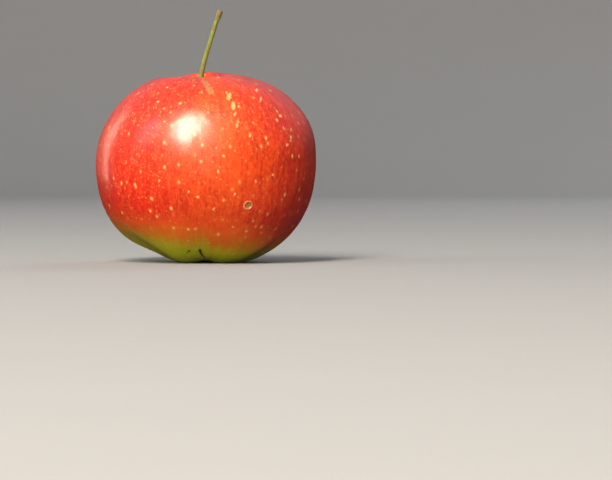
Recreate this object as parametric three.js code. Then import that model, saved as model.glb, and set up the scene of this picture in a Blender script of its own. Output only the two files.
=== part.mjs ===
// A ripe apple with its stalk above and the dried flower underneath, standing on the lobes of its base.
// Millimetres, +Z up along the core, origin on the ground under the middle of the whole part.

import * as THREE from 'three';
import { mergeVertices } from 'three/addons/utils/BufferGeometryUtils.js';

// Driving dimensions of the fruit

const fruitRadius = 37.9; // across the widest ring
const widestHeight = 35.0; // of that ring above the ground
const crownRise = 33.9; // from the ring to the top of the shoulders, before the hollows are sunk
const baseDrop = 36.55; // from the ring down to the feet, before the hollows are sunk
const depthRatio = 0.98; // front to back, against side to side
const crownFullness = 0.97; // below 1, the shoulders and the underside are fuller than an ellipse
const baseFullness = 0.87;

const cavityDepth = 15.0; // the hollow that holds the stalk
const cavityWidth = 7.5;
const shoulderDip = 3.2; // the broad flattening of the crown
const shoulderWidth = 29.0;
const basinDepth = 11.8; // the hollow that holds the calyx
const basinWidth = 6.2;

const lobeCount = 5; // one above each seed chamber
const lobeTurn = THREE.MathUtils.degToRad(17.5);
const lobeAtBase = 0.026; // share of the distance from the middle of the fruit
const lobeAtWaist = 0.009;
const lobeAtCrown = 0.005;
const lobeClearance = 5.0; // the lobes die away inside this radius

// What makes it lopsided

const waistTilt = 1.55; // the widest ring is higher on the +X side
const baseLean = 1.3; // the underside swings out to the +X side
const stalkOffset = -2.6; // the stalk grows this far to the side of the middle
const hump = { height: 2.2, x: 3.8, y: 13.5, reach: 13.0 }; // a swelling of the rim behind the stalk
const lift = { height: 2.4, x: -19.0, reach: 9.0 }; // the underside is short on the -X side

// Driving dimensions of the stalk and the calyx

const partingGap = 0.35; // between neighbouring pieces
const stalkRadius = 1.0;
const stalkTop = new THREE.Vector3(5.0, -1.2, 87.0);
const socketDepth = 2.2;

const sepalCount = 5;
const sepalSize = { length: 5.0, width: 2.5, thickness: 0.5 };
const sepalRing = 2.9; // radius of the ring that the sepals stand on
const sepalFlare = 0.9; // how far a tip leans away from the middle
const tuft = { radius: 1.25, length: 3.2, ribs: 10 };

// Mesh density

const ringSteps = 60;
const meridianSteps = 38;
const poleCrowding = 0.5; // rings are this much closer together at both ends of the core

const finishes = {
  skin: { color: 0xc4240f, roughness: 0.32, metalness: 0 },
  stalk: { color: 0x8f8a3c, roughness: 0.7, metalness: 0 },
  calyx: { color: 0x6b4a2a, roughness: 0.9, metalness: 0 },
  stamens: { color: 0x3a2615, roughness: 0.95, metalness: 0 },
};

// A bell-shaped falloff: 1 in the middle, nearly 0 at twice the reach
function bell(distance, reach) {
  return Math.exp(-((distance / reach) ** 2));
}

// Height of the round, unlobed fruit at a distance from the core; level runs from -1 below to 1 above
function roundHeight(radius, level) {
  if (level < 0) {
    const drop = (-level) ** baseFullness;
    return widestHeight - baseDrop * drop + basinDepth * bell(radius, basinWidth);
  }
  const rise = level ** crownFullness;
  const dip = shoulderDip * bell(radius, shoulderWidth);
  return widestHeight + (crownRise - dip) * rise - cavityDepth * bell(radius, cavityWidth);
}

// How far out a lobe stands at an angle round the core: 1 on a lobe, -1 in a narrow furrow
function lobeShape(angle) {
  const valley = (1 - Math.cos(lobeCount * (angle - lobeTurn))) / 2;
  return 1 - 2 * valley ** 1.5;
}

function lobeDepth(level) {
  if (level < 0) return lobeAtWaist + (lobeAtBase - lobeAtWaist) * level ** 2;
  return lobeAtWaist + (lobeAtCrown - lobeAtWaist) * level ** 2;
}

// Turns a point of the round fruit into a point of the grown one
function growPoint(point) {
  const radius = Math.min(Math.hypot(point.x, point.y), fruitRadius);
  const angle = Math.atan2(point.y, point.x);
  const level = Math.sign(point.z - widestHeight) * Math.sqrt(1 - (radius / fruitRadius) ** 2);
  const away = 1 - bell(radius, lobeClearance);
  const swell = 1 + lobeDepth(level) * lobeShape(angle) * away;
  let x = radius * swell * Math.cos(angle);
  const y = radius * swell * Math.sin(angle) * depthRatio;
  let z = widestHeight + (point.z - widestHeight) * swell;

  const waist = 1 - level ** 2;
  z += (waistTilt * waist * Math.cos(angle) * radius) / fruitRadius;
  if (level > 0) z += hump.height * bell(x - hump.x, hump.reach) * bell(y - hump.y, hump.reach) * away;
  if (level < 0) z -= lift.height * bell(x - lift.x, lift.reach) * level;
  x += level > 0 ? stalkOffset * level ** 8 : -baseLean * level * waist;
  return new THREE.Vector3(x, y, Math.max(z, 0));
}

function moveVertices(geometry, move) {
  const position = geometry.attributes.position;
  const vertex = new THREE.Vector3();
  for (let i = 0; i < position.count; i++) {
    vertex.fromBufferAttribute(position, i);
    const moved = move(vertex);
    position.setXYZ(i, moved.x, moved.y, moved.z);
  }
  return geometry;
}

// Joins shared vertices, drops the collapsed triangles at the poles and makes the shading smooth
function sealed(geometry) {
  geometry.deleteAttribute('normal');
  geometry.deleteAttribute('uv');
  const merged = mergeVertices(geometry, 1e-3);
  const corners = merged.index.array;
  const kept = [];
  for (let i = 0; i < corners.length; i += 3) {
    const [a, b, c] = [corners[i], corners[i + 1], corners[i + 2]];
    if (a !== b && b !== c && c !== a) kept.push(a, b, c);
  }
  merged.setIndex(kept);
  merged.computeVertexNormals();
  return merged;
}

// A lathe turned about +Z; its profile holds (radius, height) pairs from the bottom to the top
function turned(profile, steps) {
  return new THREE.LatheGeometry(profile, steps).rotateX(Math.PI / 2);
}

const socketRadius = stalkRadius + partingGap;
const cavityFloor = roundHeight(socketRadius, 1);
const socketFloor = cavityFloor - socketDepth;

function fruitGeometry() {
  const profile = [];
  for (let i = 0; i <= meridianSteps; i++) {
    const share = i / meridianSteps;
    const turn = Math.PI * share - (poleCrowding / 2) * Math.sin(2 * Math.PI * share);
    const radius = fruitRadius * Math.sin(turn);
    const inSocket = share > 0.5 && radius < socketRadius + partingGap;
    if (!inSocket) profile.push(new THREE.Vector2(Math.max(radius, 0), roundHeight(radius, -Math.cos(turn))));
  }
  profile.push(new THREE.Vector2(socketRadius, cavityFloor));
  profile.push(new THREE.Vector2(socketRadius, socketFloor));
  profile.push(new THREE.Vector2(0, socketFloor));
  return sealed(moveVertices(turned(profile, ringSteps), growPoint));
}

// The stalk: a tapered, turned stick with a swollen end, bent along a curve from its socket to its tip
function stalkGeometry() {
  const spine = new THREE.CatmullRomCurve3([
    new THREE.Vector3(stalkOffset, 0, socketFloor + partingGap),
    new THREE.Vector3(stalkOffset, 0, cavityFloor + 3),
    new THREE.Vector3(-1.3, -0.2, 66),
    new THREE.Vector3(1.7, -0.6, 76.7),
    stalkTop,
  ]);
  const shape = [
    [0, 0],
    [0.92, 0],
    [1, 0.02],
    [1, 0.1],
    [0.9, 0.4],
    [0.78, 0.75],
    [0.76, 0.9],
    [1.05, 0.95],
    [1.12, 0.98],
    [0.8, 1],
    [0, 1],
  ];
  const steps = 4; // extra rings between two of the points above
  const profile = [];
  shape.forEach(([width, share], i) => {
    profile.push(new THREE.Vector2(width * stalkRadius, share));
    const next = shape[i + 1];
    if (!next || next[1] - share < 0.1) return;
    for (let k = 1; k < steps; k++) {
      const blend = k / steps;
      const between = THREE.MathUtils.lerp(width, next[0], blend) * stalkRadius;
      profile.push(new THREE.Vector2(between, THREE.MathUtils.lerp(share, next[1], blend)));
    }
  });
  const ahead = new THREE.Vector3(0, 1, 0);
  const bend = (vertex) => {
    const share = THREE.MathUtils.clamp(vertex.z, 0, 1);
    const along = spine.getTangentAt(share);
    const across = new THREE.Vector3().crossVectors(ahead, along).normalize();
    const through = new THREE.Vector3().crossVectors(along, across);
    return spine.getPointAt(share).addScaledVector(across, vertex.x).addScaledVector(through, vertex.y);
  };
  return sealed(moveVertices(turned(profile, 12), bend));
}

// One dried sepal, rooted on the floor of the basin and hanging down to a point
function sepalGeometry() {
  const { length, width, thickness } = sepalSize;
  const root = roundHeight(sepalRing, -Math.sqrt(1 - (sepalRing / fruitRadius) ** 2)) - partingGap - thickness;
  const blade = new THREE.BoxGeometry(1, 1, 1, 4, 1, 6);
  const shapeBlade = (vertex) => {
    const share = 0.5 - vertex.z; // 0 at the root, 1 at the tip
    const half = (width / 2) * (0.12 + 0.88 * Math.cos((share * Math.PI) / 2) ** 0.8);
    const across = -vertex.x * 2 * half;
    const cup = (0.5 * across ** 2) / width; // the edges curl in towards the middle
    const ring = sepalRing + sepalFlare * share ** 2 - cup + vertex.y * thickness;
    return new THREE.Vector3(ring, across, root - length * share);
  };
  return sealed(moveVertices(blade, shapeBlade));
}

// The tuft of dried stamens: a ribbed, tapering bundle pointing down from the middle of the basin
function tuftGeometry() {
  const top = roundHeight(tuft.radius * 1.15, -1) - 2 * partingGap;
  const profile = [
    new THREE.Vector2(0, top - tuft.length),
    new THREE.Vector2(tuft.radius * 0.45, top - tuft.length * 0.96),
    new THREE.Vector2(tuft.radius, top - tuft.length * 0.7),
    new THREE.Vector2(tuft.radius * 0.8, top - tuft.length * 0.3),
    new THREE.Vector2(tuft.radius * 0.9, top),
    new THREE.Vector2(0, top),
  ];
  const ribs = (vertex) => {
    const rib = 1 + 0.14 * Math.cos(tuft.ribs * Math.atan2(vertex.y, vertex.x));
    return new THREE.Vector3(vertex.x * rib, vertex.y * rib, vertex.z);
  };
  return sealed(moveVertices(turned(profile, tuft.ribs * 4), ribs));
}

function piece(name, geometry, finish) {
  const mesh = new THREE.Mesh(geometry, new THREE.MeshStandardMaterial(finish));
  mesh.name = name;
  return mesh;
}

const apple = new THREE.Group();
apple.add(piece('fruit', fruitGeometry(), finishes.skin));
apple.add(piece('stalk', stalkGeometry(), finishes.stalk));
apple.add(piece('stamens', tuftGeometry(), finishes.stamens));

for (let i = 0; i < sepalCount; i++) {
  const sepal = piece(`sepal_${i + 1}`, sepalGeometry(), finishes.calyx);
  sepal.rotation.z = lobeTurn + ((i + 0.5) * 2 * Math.PI) / sepalCount;
  apple.add(sepal);
}

// Stand the part on the ground with its bounding box centred over the origin
const bounds = new THREE.Box3().setFromObject(apple, true);
const middle = bounds.getCenter(new THREE.Vector3());
apple.position.set(-middle.x, -middle.y, -bounds.min.z);
apple.updateMatrixWorld(true);

export default apple;
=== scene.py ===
import math

import bmesh
import bpy
from mathutils import Matrix, Vector, noise
from mathutils.bvhtree import BVHTree


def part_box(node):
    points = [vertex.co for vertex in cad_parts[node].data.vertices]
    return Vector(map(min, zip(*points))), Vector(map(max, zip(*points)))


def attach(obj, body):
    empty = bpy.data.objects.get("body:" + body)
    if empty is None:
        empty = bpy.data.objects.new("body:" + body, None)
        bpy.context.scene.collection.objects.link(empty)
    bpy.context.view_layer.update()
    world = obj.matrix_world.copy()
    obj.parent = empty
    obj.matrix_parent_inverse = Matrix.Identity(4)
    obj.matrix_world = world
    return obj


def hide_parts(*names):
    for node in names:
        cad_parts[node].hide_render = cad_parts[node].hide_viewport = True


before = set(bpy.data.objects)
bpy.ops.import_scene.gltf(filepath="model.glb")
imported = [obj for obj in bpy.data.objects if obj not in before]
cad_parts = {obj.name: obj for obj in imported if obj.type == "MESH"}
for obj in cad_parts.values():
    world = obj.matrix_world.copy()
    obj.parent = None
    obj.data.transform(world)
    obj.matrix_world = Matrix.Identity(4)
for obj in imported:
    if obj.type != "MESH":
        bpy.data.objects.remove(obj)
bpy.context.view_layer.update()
scene = bpy.context.scene
mm = 0.001
fullTurn = 2 * math.pi


def plug(tree, node, inputs):
    for key, value in inputs.items():
        if isinstance(value, Field):
            value = value.socket
        if isinstance(value, bpy.types.NodeSocket):
            tree.links.new(value, node.inputs[key])
        else:
            node.inputs[key].default_value = value
    return node


def addNode(tree, kind, inputs=None, **settings):
    node = tree.nodes.new(kind)
    for key, value in settings.items():
        setattr(node, key, value)
    return plug(tree, node, inputs or {})


class Field:
    # a number running through a node tree, so that a formula can be written as one

    def __init__(self, tree, socket):
        self.tree = tree
        self.socket = socket

    def math(self, operation, *others):
        inputs = dict(enumerate((self,) + others))
        node = addNode(self.tree, "ShaderNodeMath", inputs, operation=operation)
        return Field(self.tree, node.outputs[0])

    def __add__(self, other):
        return self.math("ADD", other)

    def __sub__(self, other):
        return self.math("SUBTRACT", other)

    def __mul__(self, other):
        return self.math("MULTIPLY", other)

    def __truediv__(self, other):
        return self.math("DIVIDE", other)

    def __pow__(self, other):
        return self.math("POWER", other)

    def __neg__(self):
        return self * -1.0

    def __rsub__(self, other):
        return self * -1.0 + other

    __radd__ = __add__
    __rmul__ = __mul__

    def sin(self):
        return self.math("SINE")

    def cos(self):
        return self.math("COSINE")

    def atLeast(self, low):
        return self.math("MAXIMUM", low)

    def atMost(self, high):
        return self.math("MINIMUM", high)

    def above(self, level):
        return self.math("GREATER_THAN", level)

    def bell(self, reach):  # 1 at zero, nearly 0 at twice the reach
        share = self / reach
        return (share * share * -1.0).math("EXPONENT")

    def step(self, low, high):  # eases from 0 at low to 1 at high
        inputs = {"Value": self, "From Min": low, "From Max": high}
        node = addNode(self.tree, "ShaderNodeMapRange", inputs, interpolation_type="SMOOTHSTEP")
        return Field(self.tree, node.outputs[0])


def splitVector(tree, vector):
    node = addNode(tree, "ShaderNodeSeparateXYZ", {0: vector})
    return [Field(tree, socket) for socket in node.outputs]


def joinVector(tree, x, y, z):
    return addNode(tree, "ShaderNodeCombineXYZ", {0: x, 1: y, 2: z}).outputs[0]


def scaleVector(tree, vector, factor):
    return addNode(tree, "ShaderNodeVectorMath", {0: vector, "Scale": factor}, operation="SCALE").outputs[0]


def noiseField(tree, vector, scale, detail, roughness=0.5):
    node = addNode(tree, "ShaderNodeTexNoise", {
        "Vector": vector, "Scale": scale, "Detail": detail, "Roughness": roughness})
    return Field(tree, node.outputs["Fac"])


def pushOut(tree, geometry, rise):
    # moves every point of a surface outwards
    offset = scaleVector(tree, addNode(tree, "GeometryNodeInputNormal").outputs[0], rise)
    return addNode(tree, "GeometryNodeSetPosition", {"Geometry": geometry, "Offset": offset}).outputs[0]


def newTree(name, sizes, whole=()):
    # a geometry tree with one named input for each size, and the sizes as fields
    tree = bpy.data.node_groups.new(name, "GeometryNodeTree")
    tree.interface.new_socket(name="Geometry", in_out="INPUT", socket_type="NodeSocketGeometry")
    tree.interface.new_socket(name="Geometry", in_out="OUTPUT", socket_type="NodeSocketGeometry")
    for key in sizes:
        kind = "NodeSocketInt" if key in whole else "NodeSocketFloat"
        tree.interface.new_socket(name=key, in_out="INPUT", socket_type=kind)
    inlet = tree.nodes.new("NodeGroupInput")
    return tree, inlet.outputs["Geometry"], {key: Field(tree, inlet.outputs[key]) for key in sizes}


def endTree(tree, geometry, material):
    shaded = addNode(tree, "GeometryNodeSetShadeSmooth", {"Geometry": geometry, "Shade Smooth": True})
    real = addNode(tree, "GeometryNodeRealizeInstances", {"Geometry": shaded.outputs[0]})
    inputs = {"Geometry": real.outputs[0], "Material": material}
    finished = addNode(tree, "GeometryNodeSetMaterial", inputs)
    outlet = tree.nodes.new("NodeGroupOutput")
    tree.links.new(finished.outputs[0], outlet.inputs[0])


def randomTurn(tree, seed, low, high):
    # a rotation drawn for each instance, between two sets of angles
    inputs = {0: low, 1: high, "Seed": seed}
    angles = addNode(tree, "FunctionNodeRandomValue", inputs, data_type="FLOAT_VECTOR")
    return addNode(tree, "FunctionNodeEulerToRotation", {"Euler": angles.outputs[0]}).outputs[0]


def sweepTube(tree, path, sides, width):
    # a round, closed tube along a path, as wide as width says
    ring = addNode(tree, "GeometryNodeCurvePrimitiveCircle", {"Resolution": sides, "Radius": 1.0})
    tube = addNode(tree, "GeometryNodeCurveToMesh", {
        "Curve": path, "Profile Curve": ring.outputs["Curve"], "Scale": width, "Fill Caps": True})
    return tube.outputs[0]


def growMesh(name, tree, sizes, start=None):
    # runs the tree once on a start object and keeps the result as a plain mesh
    if start is None:
        start = bpy.data.objects.new(name + "Start", bpy.data.meshes.new(name + "Start"))
    scene.collection.objects.link(start)
    modifier = start.modifiers.new(tree.name, "NODES")
    modifier.node_group = tree
    for item in tree.interface.items_tree:
        if item.in_out == "INPUT" and item.name in sizes:
            modifier[item.identifier] = sizes[item.name]
    graph = bpy.context.evaluated_depsgraph_get()
    mesh = bpy.data.meshes.new_from_object(start.evaluated_get(graph), depsgraph=graph)
    start.modifiers.clear()
    bpy.data.objects.remove(start)
    mesh.name = name
    made = bpy.data.objects.new(name, mesh)
    scene.collection.objects.link(made)
    return made


def meshBox(piece):
    corners = [vertex.co for vertex in piece.data.vertices]
    low = Vector([min(corner[axis] for corner in corners) for axis in range(3)])
    high = Vector([max(corner[axis] for corner in corners) for axis in range(3)])
    return low, high


def smoothShare(value, low, high):
    share = min(max((value - low) / (high - low), 0.0), 1.0)
    return share * share * (3 - 2 * share)


class Paint:
    # what every material here starts from: a shader and the place in millimetres

    def __init__(self, name):
        self.material = bpy.data.materials.new(name)
        self.material.use_nodes = True
        self.tree = self.material.node_tree
        self.shader = self.tree.nodes["Principled BSDF"]
        place = addNode(self.tree, "ShaderNodeTexCoord")
        scaled = addNode(self.tree, "ShaderNodeMapping", {"Vector": place.outputs["Object"]})
        scaled.inputs["Scale"].default_value = (1 / mm, 1 / mm, 1 / mm)
        self.place = scaled.outputs[0]
        self.x, self.y, self.z = splitVector(self.tree, self.place)

    def point(self, x, y, z):
        return joinVector(self.tree, x, y, z)

    def noise(self, scale, detail=3.0, vector=None, roughness=0.5):
        return noiseField(self.tree, vector or self.place, scale, detail, roughness)

    def cells(self, scale, vector=None):  # distance to the nearest cell's middle, and the cell's own colour
        node = addNode(self.tree, "ShaderNodeTexVoronoi", {"Vector": vector or self.place, "Scale": scale})
        return Field(self.tree, node.outputs["Distance"]) / scale, node.outputs["Color"]

    def mix(self, share, first, second):
        node = addNode(self.tree, "ShaderNodeMix", data_type="RGBA", clamp_factor=True)
        colours = [socket for socket in node.inputs if socket.type == "RGBA"]
        plug(self.tree, node, {0: share})
        for socket, value in zip(colours, (first, second)):
            if isinstance(value, bpy.types.NodeSocket):
                self.tree.links.new(value, socket)
            else:
                socket.default_value = (*value, 1.0)
        return next(socket for socket in node.outputs if socket.type == "RGBA")

    def bump(self, height, distance, before=None):
        inputs = {"Height": height, "Distance": distance * mm, "Strength": 1.0}
        if before is not None:
            inputs["Normal"] = before
        return addNode(self.tree, "ShaderNodeBump", inputs).outputs[0]

    def use(self, **values):
        sockets = {
            "colour": "Base Color", "roughness": "Roughness", "normal": "Normal",
            "specular": "Specular IOR Level", "tint": "Specular Tint", "ior": "IOR",
            "coat": "Coat Weight", "coatRoughness": "Coat Roughness",
            "sheen": "Sheen Weight", "sheenRoughness": "Sheen Roughness",
        }
        for key, value in values.items():
            if isinstance(value, tuple):
                value = (*value, 1.0)
            plug(self.tree, self.shader, {sockets[key]: value})
        return self.material


fruitSizes = {  # millimetres, or shares with no unit; the same fruit as the frame's
    "Radius": 37.9, "Widest height": 35.0, "Crown rise": 33.9, "Base drop": 36.55,
    "Crown fullness": 0.97, "Base fullness": 0.87, "Depth ratio": 0.98,
    "Cavity depth": 15.0, "Cavity width": 7.5, "Shoulder dip": 3.2, "Shoulder width": 29.0,
    "Basin depth": 11.8, "Basin width": 6.2,
    "Lobes": 5.0, "Lobe turn": math.radians(17.5), "Furrow sharpness": 1.5,
    "Lobe at base": 0.026, "Lobe at waist": 0.009, "Lobe at crown": 0.005, "Lobe clearance": 5.0,
    "Waist tilt": 1.55, "Base lean": 1.3, "Stalk offset": -2.6, "Offset gathering": 8.0,
    "Hump height": 2.2, "Hump x": 3.8, "Hump y": 13.5, "Hump reach": 13.0,
    "Lift height": 2.4, "Lift x": -19.0, "Lift reach": 9.0,
    "Socket depth": 2.4, "Socket width": 1.2, "Socket sharpness": 8.0,
    "Eye depth": 2.0, "Eye width": 2.1, "Eye sharpness": 6.0,
    "Cavity folds": 11.0, "Cavity fold depth": 0.16, "Cavity fold ring": 6.5, "Cavity fold reach": 4.0,
    "Basin folds": 15.0, "Basin fold depth": 0.3, "Basin fold ring": 6.0, "Basin fold reach": 3.0,
    "Unevenness": 0.35, "Fine unevenness": 0.07, "Steady below": 0.2, "Uneven above": 6.0,
    "Foot ease": 0.9, "Around": 304, "Along": 238, "Pole crowding": 0.35,
}


def buildFruit(material):
    tree, _, size = newTree("lobedFruit", fruitSizes, whole=("Around", "Along"))
    grid = addNode(tree, "GeometryNodeMeshGrid", {
        "Size X": 1.0, "Size Y": 1.0, "Vertices X": size["Around"], "Vertices Y": size["Along"]})
    x, y, _ = splitVector(tree, addNode(tree, "GeometryNodeInputPosition").outputs[0])
    around, along = x + 0.5, y + 0.5
    angle = around * fullTurn
    turn = along * math.pi - (along * fullTurn).sin() * size["Pole crowding"] * 0.5
    radius = (size["Radius"] * turn.sin()).atLeast(0.0)
    level = -turn.cos()
    high, low = level.atLeast(0.0), (-level).atLeast(0.0)
    isTop = level.above(0.0)
    waist = 1.0 - level * level

    # the round fruit
    under = size["Widest height"] - size["Base drop"] * low ** size["Base fullness"]
    under = under + size["Basin depth"] * radius.bell(size["Basin width"])
    dip = size["Shoulder dip"] * radius.bell(size["Shoulder width"])
    over = size["Widest height"] + (size["Crown rise"] - dip) * high ** size["Crown fullness"]
    over = over - size["Cavity depth"] * radius.bell(size["Cavity width"])
    height = under + (over - under) * isTop

    # its lobes
    furrow = (1.0 - ((angle - size["Lobe turn"]) * size["Lobes"]).cos()) * 0.5
    lobe = 1.0 - furrow ** size["Furrow sharpness"] * 2.0
    depth = size["Lobe at waist"] + (size["Lobe at base"] - size["Lobe at waist"]) * low * low
    depth = depth + (size["Lobe at crown"] - size["Lobe at waist"]) * high * high
    away = 1.0 - radius.bell(size["Lobe clearance"])
    swell = 1.0 + depth * lobe * away
    side = radius * swell * angle.cos()
    front = radius * swell * angle.sin() * size["Depth ratio"]
    height = size["Widest height"] + (height - size["Widest height"]) * swell

    # its lopsidedness
    height = height + size["Waist tilt"] * waist * angle.cos() * radius / size["Radius"]
    hump = (side - size["Hump x"]).bell(size["Hump reach"])
    hump = hump * (front - size["Hump y"]).bell(size["Hump reach"])
    height = height + size["Hump height"] * hump * away * isTop
    height = height + size["Lift height"] * (side - size["Lift x"]).bell(size["Lift reach"]) * low
    side = side + size["Stalk offset"] * high ** size["Offset gathering"] + size["Base lean"] * low * waist

    # folds round the stalk and the calyx, the stalk's socket and the eye
    warp = (angle * 2.0 + 0.6).sin() * 1.3 + (angle * 3.0).cos() * 0.9
    cavityRing = (radius - size["Cavity fold ring"]).bell(size["Cavity fold reach"]) * isTop
    cavityFold = (angle * size["Cavity folds"] + warp).cos() * cavityRing
    basinRing = (radius - size["Basin fold ring"]).bell(size["Basin fold reach"]) * low
    basinFold = (angle * size["Basin folds"] + warp * 1.5).cos() * basinRing
    height = height + cavityFold * size["Cavity fold depth"] + basinFold * size["Basin fold depth"]
    socket = (radius / size["Socket width"]) ** size["Socket sharpness"] + 1.0
    height = height - size["Socket depth"] * isTop / socket
    eye = (radius / size["Eye width"]) ** size["Eye sharpness"] + 1.0
    height = height + size["Eye depth"] * (1.0 - isTop) / eye

    # the feet ease into the ground
    height = (height + (height * height + size["Foot ease"] * size["Foot ease"]) ** 0.5) * 0.5

    spot = scaleVector(tree, joinVector(tree, side, front, height), mm)
    placed = addNode(tree, "GeometryNodeSetPosition", {"Geometry": grid.outputs["Mesh"], "Position": spot})
    mapped = addNode(tree, "GeometryNodeStoreNamedAttribute", data_type="FLOAT2", domain="CORNER")
    plug(tree, mapped, {"Geometry": placed.outputs[0], "Name": "skinMap", "Value": grid.outputs["UV Map"]})
    inputs = {"Geometry": mapped.outputs[0], "Distance": 0.01 * mm}
    closed = addNode(tree, "GeometryNodeMergeByDistance", inputs)

    # a gently uneven surface, steady where the fruit touches the ground
    place = addNode(tree, "GeometryNodeInputPosition").outputs[0]
    _, _, placeHeight = splitVector(tree, place)
    rise = (noiseField(tree, place, 55.0, 1.0) - 0.5) * size["Unevenness"] * 2.0
    rise = rise + (noiseField(tree, place, 300.0, 2.0) - 0.5) * size["Fine unevenness"] * 2.0
    rise = rise * placeHeight.step(size["Steady below"] * mm, size["Uneven above"] * mm) * mm
    endTree(tree, pushOut(tree, closed.outputs[0], rise), material)
    return growMesh("appleFruit", tree, fruitSizes)


marks = {  # millimetres; x and z as seen from the front
    "scar": {"x": 15.1, "z": 20.1, "radius": 1.5, "rim": 0.2, "pit": 0.32, "reach": 2.8,
             "wobble": 0.18, "roughness": 0.1},
    "cuts": (  # each narrows from its first point to its last
        {"path": ((-1.5, 4.8), (-1.4, 4.1), (-1.1, 3.3), (-0.7, 2.6), (0.0, 1.75)),
         "width": 0.36, "depth": 0.5},
        {"path": ((-5.0, 4.6), (-5.3, 4.1), (-5.8, 3.8)),
         "width": 0.26, "depth": 0.15},
    ),
    "cutReach": 2.0, "cutNarrowing": 0.55,
    "scarFineness": 3, "cutFineness": 4,
}


def frontPoint(tree, x, z):
    # the place on the skin, and its normal, that is seen at x and z from well in front
    hit, normal, _, _ = tree.ray_cast(Vector((x * mm, -200 * mm, z * mm)), Vector((0, 1, 0)))
    return hit, normal


def refine(work, centre, reach, cuts):
    # splits the faces near a point into smaller ones
    faces = [face for face in work.faces if (face.calc_center_median() - centre).length < reach * mm]
    edges = list({edge for face in faces for edge in face.edges})
    bmesh.ops.subdivide_edges(work, edges=edges, cuts=cuts, use_grid_fill=True)
    work.normal_update()


def toPath(point, path):
    # distance from a point to a path of points, and the share of the path where it is nearest
    best, share = math.inf, 0.0
    for i in range(len(path) - 1):
        start, leg = path[i], path[i + 1] - path[i]
        along = min(max((point - start).dot(leg) / leg.length_squared, 0.0), 1.0)
        gap = (point - start - leg * along).length
        if gap < best:
            best, share = gap, (i + along) / (len(path) - 1)
    return best, share


def ridge(value, middle, width):
    return math.exp(-((value - middle) / width) ** 2)


def carveMarks(fruit):
    # the scar and the cuts are pressed into finer patches of skin, and an attribute keeps where they are,
    # with a painted shade share for the scar's inner wall and the cuts' grooves
    work = bmesh.new()
    work.from_mesh(fruit.data)
    layer = work.verts.layers.float_color.new("woundsAndShade")
    tree = BVHTree.FromBMesh(work)
    scar, reach = marks["scar"], marks["cutReach"]
    centre, outward = frontPoint(tree, scar["x"], scar["z"])
    refine(work, centre, scar["reach"], marks["scarFineness"])
    paths = [[frontPoint(tree, x, z)[0] for x, z in cut["path"]] for cut in marks["cuts"]]
    for path in paths:
        refine(work, path[len(path) // 2], reach + 0.4, marks["cutFineness"])
    for vertex in work.verts:
        cork, dark, rim = 0.0, 0.0, 0.0
        move = Vector()
        gap = (vertex.co - centre).length / mm
        if gap < scar["reach"]:
            wobble = noise.noise(vertex.co / mm * 0.9) * scar["wobble"]
            ring = (gap + wobble) / scar["radius"]
            rim = ridge(ring, 0.92, 0.16)
            cork = 1 - smoothShare(ring, 0.55, 0.9)
            # painted shade: a darker ring on the pit's inner wall
            dark = 0.35 * ridge(ring, 0.7, 0.12)
            rough = noise.noise(vertex.co / mm * 3.0) * scar["roughness"] * cork
            move = outward * (rim * scar["rim"] - cork * (scar["pit"] + rough)) * mm
        for cut, path in zip(marks["cuts"], paths):
            gap, share = toPath(vertex.co, path)
            if gap < reach * mm:
                width = cut["width"] * (1 - marks["cutNarrowing"] * share)
                deep = ridge(gap / mm, 0.0, width)
                move = move - vertex.normal * deep * cut["depth"] * mm
                # painted shade: darkest along the bottom of the groove
                dark = max(dark, min(deep * 1.5, 1.0))
                cork = max(cork, 0.35 * ridge(gap / mm, 0.0, width * 2.5))
        vertex[layer] = (cork, dark, rim, 1.0)
        vertex.co = vertex.co + move
        vertex.co.z = max(vertex.co.z, 0.0)
    work.to_mesh(fruit.data)
    work.free()
    fruit.data.update()


skinColours = {
    "deepRed": (0.36, 0.005, 0.002), "red": (0.56, 0.014, 0.002), "orange": (0.67, 0.075, 0.003),
    "amber": (0.45, 0.18, 0.002), "green": (0.33, 0.37, 0.002), "lime": (0.45, 0.43, 0.004),
    "lenticel": (0.73, 0.43, 0.14), "rim": (0.72, 0.34, 0.15),
    # the near-black colour after russet and cork is painted shade for the scar's pit and the cuts' grooves
    "russet": (0.3, 0.17, 0.05), "cork": (0.4, 0.19, 0.05), "paintedShade": (0.012, 0.008, 0.003),
}
skinPattern = {  # millimetres, or shares with no unit
    "edgeHeight": 4.0, "edgeDropRight": 0.22, "edgeRiseLeft": 0.06, "edgeRiseBack": 0.1, "edgeFront": -30.0,
    "edgeRipple": 6.0, "edgeMottle": 8.0, "blushWidth": 10.0, "warmthFrom": -2.0, "warmthTo": 7.0,
    # the sizes on the next line place a painted patch of sunlight on the front
    "paintedSunSide": 0.18, "paintedSunSpread": 0.5, "paintedSunHeight": 34.0, "paintedSunReach": 38.0, "paintedSunShare": 0.22,
    "fadingFrom": 4.0, "fadingTo": 15.0, "fadingShare": 0.28,
    "hollowWidth": 12.0, "hollowShare": 0.75, "russetWidth": 8.5, "russetShare": 0.9,
    "eyeWidth": 7.0, "eyeShare": 0.7, "halfWay": 40.0,
    "dotShare": 0.8, "dotStretch": 1.35,
    "patchX": 1.2, "patchZ": 59.9, "patchSlant": 0.5, "patchHalfWidth": 1.3, "patchHalfHeight": 2.5,
    "patchShare": 0.7, "corkShare": 0.9, "rimShare": 0.7, "paintedShadeShare": 0.92,
}
skinGloss = {"coat": 0.7, "coatRoughness": 0.22, "specular": 0.55, "tint": (1.0, 0.78, 0.56), "ior": 1.45}
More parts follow.
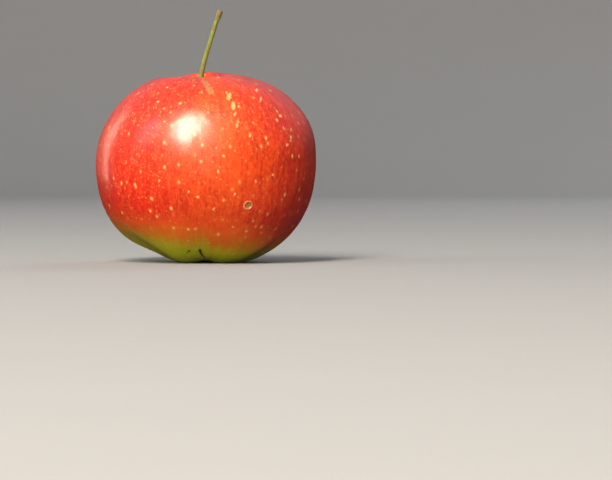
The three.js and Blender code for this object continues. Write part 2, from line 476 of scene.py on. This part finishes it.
skinSpots = (  # the largest pale dots on the front: x, z, half width and half height in millimetres
    (7.7, 58.0, 0.35, 0.5), (8.6, 56.7, 0.9, 1.1), (10.0, 53.6, 0.8, 1.5), (10.7, 50.6, 0.45, 0.9),
    (11.4, 46.9, 0.5, 0.6), (17.8, 59.0, 0.6, 0.5), (19.3, 55.6, 0.4, 0.7), (25.9, 50.3, 0.5, 0.7),
    (15.8, 43.7, 0.4, 0.9), (21.1, 42.8, 0.5, 0.8), (28.2, 40.2, 0.35, 0.7), (29.4, 42.6, 0.35, 1.2),
    (6.9, 36.8, 0.5, 0.5), (5.2, 31.6, 0.5, 0.6), (10.7, 23.8, 0.5, 0.5), (-1.7, 23.0, 0.5, 0.6),
    (-10.7, 19.2, 0.5, 0.6), (23.5, 30.2, 0.4, 0.5), (17.7, 28.2, 0.45, 0.5), (-14.8, 28.2, 0.4, 0.4),
    (-17.2, 22.2, 0.35, 0.6), (-4.6, 24.6, 0.4, 0.4), (3.6, 19.0, 0.4, 0.4), (10.0, 12.8, 0.5, 0.35),
)


def blushColour(paint, grains, ring):
    # red over a yellow-green ground that shows at the base
    colours, look = skinColours, skinPattern
    x, y, z = paint.x, paint.y, paint.z
    ringX, ringY = ring
    streaks, fineStreaks, mottle, grain, freckle = grains
    edge = look["edgeHeight"] - x.atLeast(0.0) * look["edgeDropRight"]
    edge = edge - x.atMost(0.0) * look["edgeRiseLeft"]
    edge = edge + (y - look["edgeFront"]) * look["edgeRiseBack"]
    ripple = (streaks - 0.5) * look["edgeRipple"] + (mottle - 0.5) * look["edgeMottle"]
    ripple = ripple + (grain - 0.5) * look["edgeRipple"] + (freckle - 0.5) * look["edgeRipple"]
    blush = (z - edge + ripple).step(0.0, look["blushWidth"])
    warmth = (z - edge + ripple * 0.8).step(look["warmthFrom"], look["warmthTo"])

    redness = (mottle * 0.5 + streaks * 0.3 + fineStreaks * 0.2 + freckle * 0.25 - 0.1).step(0.35, 0.75)
    red = paint.mix(redness, colours["deepRed"], colours["red"])
    # painted sunlight: where the key light falls, the front right of the middle turns a lighter orange, so
    # the sides stay deeper red
    paintedSun = (ringX - look["paintedSunSide"]).bell(look["paintedSunSpread"]) * (-ringY).above(0.0)
    paintedSun = paintedSun * (z - look["paintedSunHeight"]).bell(look["paintedSunReach"])
    fading = 1.0 - (z - edge + ripple).step(look["fadingFrom"], look["fadingTo"])
    flame = streaks * 0.3 + fineStreaks * 0.3 + freckle * 0.45 + (grain - 0.5) * 0.3 - 0.06
    flame = flame + paintedSun * look["paintedSunShare"] + fading * look["fadingShare"]
    red = paint.mix(flame.step(0.42, 0.82) * 0.85, red, colours["orange"])
    leafy = (mottle * 0.6 + freckle * 0.4).step(0.35, 0.65)
    ground = paint.mix(warmth, paint.mix(leafy, colours["green"], colours["lime"]), colours["amber"])
    return paint.mix(blush, ground, red)


def paleDots(paint, grain, freckle):
    # dots all over, finer and denser on the shoulders, with the largest ones each in its own place
    x, y, z = paint.x, paint.y, paint.z
    stretched = paint.point(x, y, z / skinPattern["dotStretch"])

    def dots(size, radius, threshold):  # soft-edged dots of differing strength, drawn out along the skin
        near, random = paint.cells(1.0 / size, stretched)
        strength, _, _ = splitVector(paint.tree, random)
        inner = 1.0 - near.step(radius * 0.35, radius)
        halo = 1.0 - near.step(radius * 0.5, radius * 2.0)
        return (inner * 0.83 + halo * 0.17) * strength.step(threshold, 1.0)

    patchy = paint.noise(0.16, 2.0).step(0.35, 0.7)
    upperLeft = z.step(12.0, 55.0) * 0.7 + (-x).step(-20.0, 30.0) * 0.5
    spot = dots(2.5, 0.6, 0.3)
    spot = spot.atLeast(dots(1.2, 0.3, 0.3) * (0.3 + upperLeft * 0.3))
    spot = spot.atLeast(dots(0.62, 0.22, 0.0) * 0.8 * (upperLeft * patchy * 0.9 + 0.05))
    isFront = (-y).above(0.0)
    for spotX, spotZ, halfWidth, halfHeight in skinSpots:
        across = (x - spotX + (grain - 0.5) * 1.6) / halfWidth
        upward = (z - spotZ + (freckle - 0.5) * 2.2) / halfHeight
        inside = 1.0 - (across * across + upward * upward).step(0.1, 1.6)
        spot = spot.atLeast(inside * isFront * 0.85)
    return spot


def paintSkin():
    paint = Paint("appleSkin")
    colours, look = skinColours, skinPattern
    tree, x, y, z = paint.tree, paint.x, paint.y, paint.z
    inputs = {0: paint.place, 1: (1.0, 1.0, 0.0)}
    flat = addNode(tree, "ShaderNodeVectorMath", inputs, operation="MULTIPLY")
    facing = addNode(tree, "ShaderNodeVectorMath", {0: flat.outputs[0]}, operation="NORMALIZE")
    ringX, ringY, _ = splitVector(tree, facing.outputs[0])

    def meridian(stretch):  # coordinates that follow the skin from pole to pole, drawn out along it
        return paint.point(ringX * fruitSizes["Radius"], ringY * fruitSizes["Radius"], z / stretch)

    streaks = paint.noise(0.62, 4.0, meridian(14.0), 0.62)
    fineStreaks = paint.noise(1.9, 3.0, meridian(5.0), 0.6)
    mottle = paint.noise(0.11, 3.0)
    grain = paint.noise(1.1, 4.0, roughness=0.65)
    freckle = paint.noise(0.75, 3.0, meridian(1.6), 0.7)
    colour = blushColour(paint, (streaks, fineStreaks, mottle, grain, freckle), (ringX, ringY))

    # the stalk's hollow has an amber floor under a fan of russet, and the eye has russet over the ground
    # colour
    upper = z.above(look["halfWay"])
    cavity = ((x - fruitSizes["Stalk offset"]) ** 2.0 + y * y) ** 0.5
    cavity = cavity + (grain - 0.5) * 4.0 + (fineStreaks - 0.5) * 5.0
    hollow = (1.0 - cavity.step(4.0, look["hollowWidth"])) * upper
    colour = paint.mix(hollow * look["hollowShare"], colour, colours["amber"])
    fan = (1.0 - cavity.step(2.0, look["russetWidth"])) * upper
    colour = paint.mix(fan * look["russetShare"], colour, colours["russet"])
    basin = (x * x + y * y) ** 0.5 + (grain - 0.5) * 5.0 + (streaks - 0.5) * 5.0
    eye = (1.0 - basin.step(2.5, look["eyeWidth"])) * (1.0 - upper)
    colour = paint.mix(eye * look["eyeShare"], colour, colours["russet"])

    spot = paleDots(paint, grain, freckle)
    colour = paint.mix(spot * look["dotShare"], colour, colours["lenticel"])

    # a rough russet patch on the front shoulder
    ragged = paint.noise(0.45, 3.0, roughness=0.7) - 0.5
    slant = (60.0 - z) * look["patchSlant"]
    patchX = (x - look["patchX"] - slant + ragged * 6.0) / look["patchHalfWidth"]
    patchZ = (z - look["patchZ"] + (freckle - 0.5) * 5.0) / look["patchHalfHeight"]
    patch = 1.0 - (patchX * patchX + patchZ * patchZ + ragged * 2.0).step(0.1, 1.8)
    patch = patch * (-y).above(0.0)
    colour = paint.mix(patch * look["patchShare"], colour, colours["russet"])

    # the scar and the cuts, with painted shade in the scar's pit and along the cuts' grooves
    woundsAndShade = addNode(tree, "ShaderNodeAttribute", attribute_name="woundsAndShade")
    cork, dark, rim = splitVector(tree, woundsAndShade.outputs["Color"])
    healed = paint.mix(paint.noise(1.2, 2.0).step(0.4, 0.6), colours["russet"], colours["cork"])
    colour = paint.mix(cork * look["corkShare"], colour, healed)
    colour = paint.mix(rim * look["rimShare"], colour, colours["rim"])
    # painted shade, nearly black, in the scar's pit and along the cuts' grooves
    colour = paint.mix(dark * look["paintedShadeShare"], colour, colours["paintedShade"])

    rough = (patch + cork + eye * 0.6 + fan).atMost(1.0)
    roughness = 0.46 + (grain - 0.5) * 0.12 + spot * 0.1 + rough * 0.2
    normal = paint.bump(paint.noise(1.5, 3.0, roughness=0.6), 0.06)
    normal = paint.bump(spot, 0.05, normal)
    normal = paint.bump(rough * paint.noise(3.0, 3.0), 0.25, normal)
    return paint.use(colour=colour, roughness=roughness, normal=normal, **skinGloss)


stalkSizes = {  # millimetres
    "Radius": 1.0, "Rings": 150, "Sides": 28, "Ridge depth": 0.13, "Bark grain": 0.05,
}
stalkPath = (
    (-2.6, 0.0, 50.2), (-2.6, 0.0, 55.4), (-1.3, -0.2, 66.0), (1.7, -0.6, 76.7), (5.0, -1.2, 87.0),
)
stalkTaper = (  # share of the length, and the radius there
    (0.0, 0.98), (0.1, 1.0), (0.4, 0.9), (0.75, 0.78), (0.89, 0.78), (0.95, 1.0), (0.98, 1.04), (1.0, 0.8),
)
stalkColours = {
    "green": (0.15, 0.18, 0.03), "brown": (0.16, 0.1, 0.033), "tip": (0.16, 0.09, 0.045),
    "foot": (0.2, 0.12, 0.04), "speck": (0.55, 0.5, 0.3),
}


def stalkLine(shift):
    curve = bpy.data.curves.new("stalkLine", "CURVE")
    curve.dimensions = "3D"
    spline = curve.splines.new("BEZIER")
    spline.bezier_points.add(len(stalkPath) - 1)
    for point, place in zip(spline.bezier_points, stalkPath):
        point.co = Vector(place) * mm + shift
        point.handle_left_type = "AUTO"
        point.handle_right_type = "AUTO"
    curve.resolution_u = 24
    return bpy.data.objects.new("stalkLine", curve)


def buildStalk(material, shift):
    tree, line, size = newTree("taperedStalk", stalkSizes, whole=("Rings", "Sides"))
    even = addNode(tree, "GeometryNodeResampleCurve", {"Curve": line, "Count": size["Rings"]})
    share = addNode(tree, "GeometryNodeSplineParameter").outputs["Factor"]
    taper = addNode(tree, "ShaderNodeFloatCurve", {"Value": share})
    taper.mapping.use_clip = False
    points = taper.mapping.curves[0].points
    highest = 1.25  # the curve's values run from 0 to 1, so widths are stored as shares of this
    points[0].location = (stalkTaper[0][0], stalkTaper[0][1] / highest)
    points[1].location = (stalkTaper[-1][0], stalkTaper[-1][1] / highest)
    for place, width in stalkTaper[1:-1]:
        points.new(place, width / highest)
    taper.mapping.update()
    width = Field(tree, taper.outputs[0]) * highest * size["Radius"] * mm
    tube = sweepTube(tree, even.outputs[0], size["Sides"], width)
    place = addNode(tree, "GeometryNodeInputPosition").outputs[0]
    inputs = {0: place, 1: (1100.0, 1100.0, 130.0)}  # drawn out along the stalk
    drawn = addNode(tree, "ShaderNodeVectorMath", inputs, operation="MULTIPLY")
    rise = (noiseField(tree, drawn.outputs[0], 1.0, 2.0) - 0.5) * size["Ridge depth"] * 2.0
    rise = (rise + (noiseField(tree, place, 1800.0, 2.0) - 0.5) * size["Bark grain"] * 2.0) * mm
    endTree(tree, pushOut(tree, tube, rise), material)
    return growMesh("appleStalk", tree, stalkSizes, stalkLine(shift))


def paintStalk():
    paint = Paint("stalkBark")
    fibres = paint.noise(2.2, 3.0, paint.point(paint.x, paint.y, paint.z * 0.12))
    blotch = paint.noise(0.35, 3.0)
    brown = (blotch + (fibres - 0.5) * 0.5).step(0.42, 0.7)
    colour = paint.mix(brown * 0.8, stalkColours["green"], stalkColours["brown"])
    tip = paint.z.step(82.5, 86.0)
    foot = 1.0 - paint.z.step(52.0, 62.0)
    colour = paint.mix(tip * 0.8, colour, stalkColours["tip"])
    colour = paint.mix(foot * 0.7, colour, stalkColours["foot"])
    specks, _ = paint.cells(1.1)
    colour = paint.mix((1.0 - specks.step(0.08, 0.2)) * 0.6, colour, stalkColours["speck"])
    normal = paint.bump(fibres, 0.12)
    normal = paint.bump(paint.noise(6.0, 2.0), 0.04, normal)
    return paint.use(colour=colour, roughness=0.5 + blotch * 0.3, normal=normal, specular=0.4)


sepalSizes = {  # millimetres; area is that of one side of a blade
    "count": 5, "length": 5.0, "width": 2.6, "thickness": 0.28, "ring": 2.9, "root": 7.5, "flare": 1.1,
    "across": 10, "along": 22, "hairs": 170, "area": 8.0, "hairLength": 0.55, "hairWidth": 0.035,
    "hairLean": 0.9, "firstSeed": 11,
}
sepalColours = {"pale": (0.3, 0.2, 0.1), "dark": (0.1, 0.055, 0.03), "tip": (0.06, 0.035, 0.02)}


def sepalPoint(across, share, side, seed):
    # a dried blade: it narrows to a curled tip, cups inwards and wrinkles
    half = sepalSizes["width"] / 2 * (0.1 + 0.9 * math.cos(share * math.pi / 2) ** 0.8)
    wide = across * half
    wrinkle = noise.noise(Vector((wide * 1.3, share * 3.0, seed * 7.3)))
    curl = 0.9 * share ** 3 * math.sin(seed * 2.1 + 0.6)
    cup = 0.5 * wide * wide / sepalSizes["width"]
    ring = sepalSizes["ring"] + sepalSizes["flare"] * share ** 2 - cup + 0.22 * wrinkle
    ring = ring + side * sepalSizes["thickness"] * (1 - 0.6 * share) + curl * 0.35
    sideways = wide + 0.35 * math.sin(seed * 3.7) * share ** 2
    height = sepalSizes["root"] - sepalSizes["length"] * share * (1 - 0.08 * (seed % 3)) + 0.15 * wrinkle
    return Vector((ring, sideways, height))


def buildSepal(index, material, shift, lobeTurn):
    turn = lobeTurn + (index + 0.5) * fullTurn / sepalSizes["count"]
    columns, rows = sepalSizes["across"], sepalSizes["along"]
    work = bmesh.new()
    sheets = []
    for side in (0.5, -0.5):
        sheet = []
        for row in range(rows + 1):
            line = []
            for column in range(columns + 1):
                local = sepalPoint(2 * column / columns - 1, row / rows, side, index + 1)
                x = local.x * math.cos(turn) - local.y * math.sin(turn)
                y = local.x * math.sin(turn) + local.y * math.cos(turn)
                line.append(work.verts.new(Vector((x, y, local.z)) * mm + shift))
            sheet.append(line)
        sheets.append(sheet)
    outer, inner = sheets
    for row in range(rows):
        for column in range(columns):
            corners = ((row, column), (row, column + 1), (row + 1, column + 1), (row + 1, column))
            a, b, c, d = [outer[i][j] for i, j in corners]
            work.faces.new((a, d, c, b))
            work.faces.new([inner[i][j] for i, j in corners])
    border = [(0, column) for column in range(columns + 1)]
    border += [(row, columns) for row in range(1, rows + 1)]
    border += [(rows, column) for column in range(columns - 1, -1, -1)]
    border += [(row, 0) for row in range(rows - 1, 0, -1)]
    for i, (row, column) in enumerate(border):
        nextRow, nextColumn = border[(i + 1) % len(border)]
        work.faces.new((outer[row][column], outer[nextRow][nextColumn],
                        inner[nextRow][nextColumn], inner[row][column]))
    bmesh.ops.recalc_face_normals(work, faces=work.faces)
    mesh = bpy.data.meshes.new("sepalBlade")
    work.to_mesh(mesh)
    work.free()
    blade = bpy.data.objects.new("sepalBlade", mesh)
    return growDown("driedSepal" + str(index + 1), blade, material, index)


def growDown(name, blade, material, index):
    # fine pale hairs scattered over the blade, as on the living flower
    sizes = {
        "Hairs per square metre": sepalSizes["hairs"] / (2 * sepalSizes["area"] * mm * mm),
        "Hair length": sepalSizes["hairLength"], "Hair width": sepalSizes["hairWidth"],
        "Seed": sepalSizes["firstSeed"] + index,
    }
    tree, base, size = newTree("downySepal" + str(index + 1), sizes, whole=("Seed",))
    roots = addNode(tree, "GeometryNodeDistributePointsOnFaces", {
        "Mesh": base, "Density": size["Hairs per square metre"], "Seed": size["Seed"]})
    hair = addNode(tree, "GeometryNodeMeshCone", {
        "Vertices": 3, "Radius Bottom": size["Hair width"] * mm, "Radius Top": 0.0,
        "Depth": size["Hair length"] * mm})
    most = sepalSizes["hairLean"]
    lean = randomTurn(tree, size["Seed"], (-most, -most, -most), (most, most, most))
    turned = addNode(tree, "FunctionNodeRotateRotation", {
        "Rotation": roots.outputs["Rotation"], "Rotate By": lean})
    placed = addNode(tree, "GeometryNodeInstanceOnPoints", {
        "Points": roots.outputs["Points"], "Instance": hair.outputs["Mesh"],
        "Rotation": turned.outputs[0]})
    joined = addNode(tree, "GeometryNodeJoinGeometry")
    tree.links.new(base, joined.inputs[0])
    tree.links.new(placed.outputs[0], joined.inputs[0])
    endTree(tree, joined.outputs[0], material)
    return growMesh(name, tree, sizes, blade)


def paintSepal():
    paint = Paint("driedSepal")
    blotch = paint.noise(0.8, 4.0)
    veins = paint.noise(2.4, 3.0, paint.point(paint.x, paint.y, paint.z * 0.2))
    withered = (blotch + (veins - 0.5) * 0.6).step(0.35, 0.7)
    colour = paint.mix(withered, sepalColours["pale"], sepalColours["dark"])
    tip = 1.0 - paint.z.step(2.4, 4.0)
    colour = paint.mix(tip * 0.6, colour, sepalColours["tip"])
    normal = paint.bump(veins, 0.12)
    return paint.use(colour=colour, roughness=0.85, normal=normal,
                     specular=0.25, sheen=0.4, sheenRoughness=0.6)


stamenSizes = {  # millimetres; the bend's radius is in thread lengths, and its sweep in radians
    "Threads": 20, "Ring radius": 1.15, "Root height": 9.3,
    "Thread length": 3.0, "Thread width": 0.1, "Bend radius": 1.6, "Bend sweep": 0.65, "Seed": 5,
}
stamenColours = {"dark": (0.06, 0.035, 0.02), "pale": (0.2, 0.12, 0.06)}


def buildStamens(material, shift):
    # a ring of withered threads, each bent its own way and ending in a shrunken head
    tree, _, size = newTree("witheredStamens", stamenSizes, whole=("Threads", "Seed"))
    number = Field(tree, addNode(tree, "GeometryNodeInputIndex").outputs[0])
    inner = (number * 0.5).math("FRACT").above(0.25)
    angle = number / size["Threads"] * fullTurn
    ring = size["Ring radius"] * (1.0 - inner * 0.45)
    spot = joinVector(tree, ring * angle.cos(), ring * angle.sin(), size["Root height"])
    inputs = {0: scaleVector(tree, spot, mm), 1: tuple(shift)}
    spot = addNode(tree, "ShaderNodeVectorMath", inputs, operation="ADD").outputs[0]
    roots = addNode(tree, "GeometryNodePoints", {"Count": size["Threads"], "Position": spot})

    # one thread hangs down from its root and swells at its end
    bend = size["Thread length"] * mm * size["Bend radius"]
    path = addNode(tree, "GeometryNodeCurveArc", {
        "Resolution": 12, "Radius": bend, "Start Angle": 0.0, "Sweep Angle": size["Bend sweep"]})
    moved = addNode(tree, "GeometryNodeTransform", {
        "Geometry": path.outputs["Curve"], "Translation": joinVector(tree, -bend, 0.0, 0.0)})
    hung = addNode(tree, "GeometryNodeTransform", {
        "Geometry": moved.outputs[0], "Rotation": (-math.pi / 2, 0.0, 0.0)})
    share = Field(tree, addNode(tree, "GeometryNodeSplineParameter").outputs["Factor"])
    width = size["Thread width"] * mm * (1.0 - share * 0.35 + (share - 0.93).bell(0.07) * 1.9)
    thread = sweepTube(tree, hung.outputs[0], 7, width)

    spin = randomTurn(tree, size["Seed"], (-0.25, -0.25, 0.0), (0.25, 0.25, fullTurn))
    inputs = {2: 0.7, 3: 1.05, "Seed": size["Seed"]}
    grow = addNode(tree, "FunctionNodeRandomValue", inputs, data_type="FLOAT")
    placed = addNode(tree, "GeometryNodeInstanceOnPoints", {
        "Points": roots.outputs[0], "Instance": thread, "Rotation": spin, "Scale": grow.outputs[1]})
    endTree(tree, placed.outputs[0], material)
    return growMesh("driedStamens", tree, stamenSizes)


def paintStamens():
    paint = Paint("witheredThread")
    blotch = paint.noise(1.6, 3.0)
    colour = paint.mix(blotch.step(0.35, 0.65), stamenColours["dark"], stamenColours["pale"])
    normal = paint.bump(paint.noise(7.0, 2.0), 0.05)
    return paint.use(colour=colour, roughness=0.9, normal=normal, specular=0.2)


studio = {  # metres and watts; a lamp's place is a direction from the fruit and a distance from it
    "floorRadius": 1.7, "sweepRadius": 0.8, "wallHeight": 2.6, "sweepSteps": 16, "sides": 96,
    "floorColour": (0.27, 0.272, 0.276), "mottle": 0.97,
    "worldColour": (0.8, 0.87, 1.0), "skyStrength": 0.36, "groundStrength": 0.02,
    "lamps": {
        "keyLamp": {"from": (-0.24, -0.7, 0.655), "distance": 2.2, "size": (0.62, 1.7), "power": 104.0,
                    "colour": (1.0, 0.9, 0.76)},
        "skyLamp": {"from": (-0.75, -0.33, 0.57), "distance": 1.5, "size": (0.7, 0.9), "power": 4.5,
                    "colour": (0.72, 0.8, 1.0)},
        "rimLamp": {"from": (-0.7, 0.62, 0.2), "distance": 1.3, "size": (0.3, 0.9), "power": 2.0,
                    "colour": (1.0, 0.82, 0.64)},
        "leftLamp": {"from": (-0.93, -0.2, 0.2), "distance": 1.5, "size": (0.5, 0.5), "power": 0.9,
                     "colour": (1.0, 0.86, 0.62), "spread": 60.0, "seenInGloss": False},
        "frontLamp": {"from": (0.0, -1.0, 0.12), "distance": 1.5, "size": (0.5, 0.5), "power": 0.8,
                      "colour": (1.0, 0.86, 0.62), "spread": 60.0, "seenInGloss": False},
        "backLamp": {"from": (0.55, 0.75, 0.6), "distance": 2.0, "size": (1.4, 1.4), "power": 16.0,
                     "colour": (0.95, 0.97, 1.0), "seenInGloss": False},
    },
}


def buildStage():
    # a round floor that sweeps up into a wall, with no corner to be seen
    floorRadius, sweepRadius = studio["floorRadius"], studio["sweepRadius"]
    steps, sides = studio["sweepSteps"], studio["sides"]
    profile = [(0.0, 0.0), (floorRadius * 0.5, 0.0), (floorRadius, 0.0)]
    for i in range(1, steps + 1):
        lean = i / steps * math.pi / 2
        profile.append((floorRadius + sweepRadius * math.sin(lean), sweepRadius * (1 - math.cos(lean))))
    profile.append((floorRadius + sweepRadius, studio["wallHeight"]))
    work = bmesh.new()
    rings = []
    for radius, height in profile:
        if radius == 0.0:
            rings.append([work.verts.new((0, 0, height))] * sides)
            continue
        ring = []
        for i in range(sides):
            angle = fullTurn * i / sides
            ring.append(work.verts.new((radius * math.cos(angle), radius * math.sin(angle), height)))
        rings.append(ring)
    for inner, outer in zip(rings, rings[1:]):
        for i in range(sides):
            j = (i + 1) % sides
            corners = [inner[i], outer[i], outer[j], inner[j]]
            if inner[i] is inner[j]:
                corners.pop()
            work.faces.new(corners).smooth = True
    mesh = bpy.data.meshes.new("studioSweep")
    work.to_mesh(mesh)
    work.free()
    sweep = bpy.data.objects.new("studioSweep", mesh)
    scene.collection.objects.link(sweep)
    paint = Paint("paperSweep")
    shade = tuple(value * studio["mottle"] for value in studio["floorColour"])
    colour = paint.mix(paint.noise(0.02, 2.0), studio["floorColour"], shade)
    mesh.materials.append(paint.use(colour=colour, roughness=0.9, specular=0.2))
    sweep.visible_glossy = False  # so the skin mirrors the even sky and not a bright floor


def addLamp(name, lamp, aim):
    data = bpy.data.lights.new(name, "AREA")
    data.shape = "ELLIPSE"
    data.size, data.size_y = lamp["size"]
    data.energy = lamp["power"]
    data.color = lamp["colour"]
    if "spread" in lamp:  # a narrow beam, kept off the floor below it
        data.spread = math.radians(lamp["spread"])
    made = bpy.data.objects.new(name, data)
    made.location = aim + Vector(lamp["from"]).normalized() * lamp["distance"]
    made.rotation_euler = (aim - made.location).to_track_quat("-Z", "Y").to_euler()
    made.visible_glossy = lamp.get("seenInGloss", True)
    scene.collection.objects.link(made)


def buildLight(aim):
    for name, lamp in studio["lamps"].items():
        addLamp(name, lamp, aim)
    world = bpy.data.worlds.new("paleSky")
    world.use_nodes = True
    tree = world.node_tree
    _, _, up = splitVector(tree, addNode(tree, "ShaderNodeTexCoord").outputs["Generated"])
    strength = up.step(-0.05, 0.5) * studio["skyStrength"] + studio["groundStrength"]
    plug(tree, tree.nodes["Background"], {"Color": (*studio["worldColour"], 1.0), "Strength": strength})
    scene.world = world


cameraView = {  # metres and degrees; the fruit stands left of the middle of the picture and above it
    "lens": 200.0, "sensor": 36.0, "fieldWidth": 0.21144, "elevation": 1.5,
    "aimRight": 0.03455, "aimHeight": 0.0076, "nearest": 0.05, "farthest": 20.0,
}


def buildCamera():
    data = bpy.data.cameras.new("camera")
    data.lens = cameraView["lens"]
    data.sensor_width = cameraView["sensor"]
    distance = cameraView["fieldWidth"] * cameraView["lens"] / cameraView["sensor"]
    tilt = math.radians(cameraView["elevation"])
    aim = Vector((cameraView["aimRight"], 0.0, cameraView["aimHeight"]))
    camera = bpy.data.objects.new("camera", data)
    camera.location = aim + Vector((0.0, -math.cos(tilt), math.sin(tilt))) * distance
    camera.rotation_euler = (math.pi / 2 - tilt, 0.0, 0.0)
    data.clip_start, data.clip_end = cameraView["nearest"], cameraView["farthest"]
    scene.collection.objects.link(camera)
    scene.camera = camera


buildCamera()
print("camera set")

fruit = buildFruit(paintSkin())
nodeLow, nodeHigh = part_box("fruit")
grownLow, grownHigh = meshBox(fruit)
shift = (nodeLow + nodeHigh - grownLow - grownHigh) / 2
shift.z = nodeLow.z - grownLow.z
fruit.data.transform(Matrix.Translation(shift))
carveMarks(fruit)
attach(fruit, "root")
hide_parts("fruit")
print("fruit grown:", len(fruit.data.polygons), "faces")

stalk = buildStalk(paintStalk(), shift)
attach(stalk, "root")
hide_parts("stalk")
print("stalk grown:", len(stalk.data.polygons), "faces")

sepalMaterial = paintSepal()
for index in range(sepalSizes["count"]):
    sepal = buildSepal(index, sepalMaterial, shift, fruitSizes["Lobe turn"])
    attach(sepal, "root")
    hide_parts("sepal_" + str(index + 1))
stamens = buildStamens(paintStamens(), shift)
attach(stamens, "root")
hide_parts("stamens")
print("calyx grown")

buildStage()
buildLight(Vector((0.0, 0.0, fruitSizes["Widest height"] * mm)))
scene.view_settings.view_transform = "Standard"
print("studio lit")
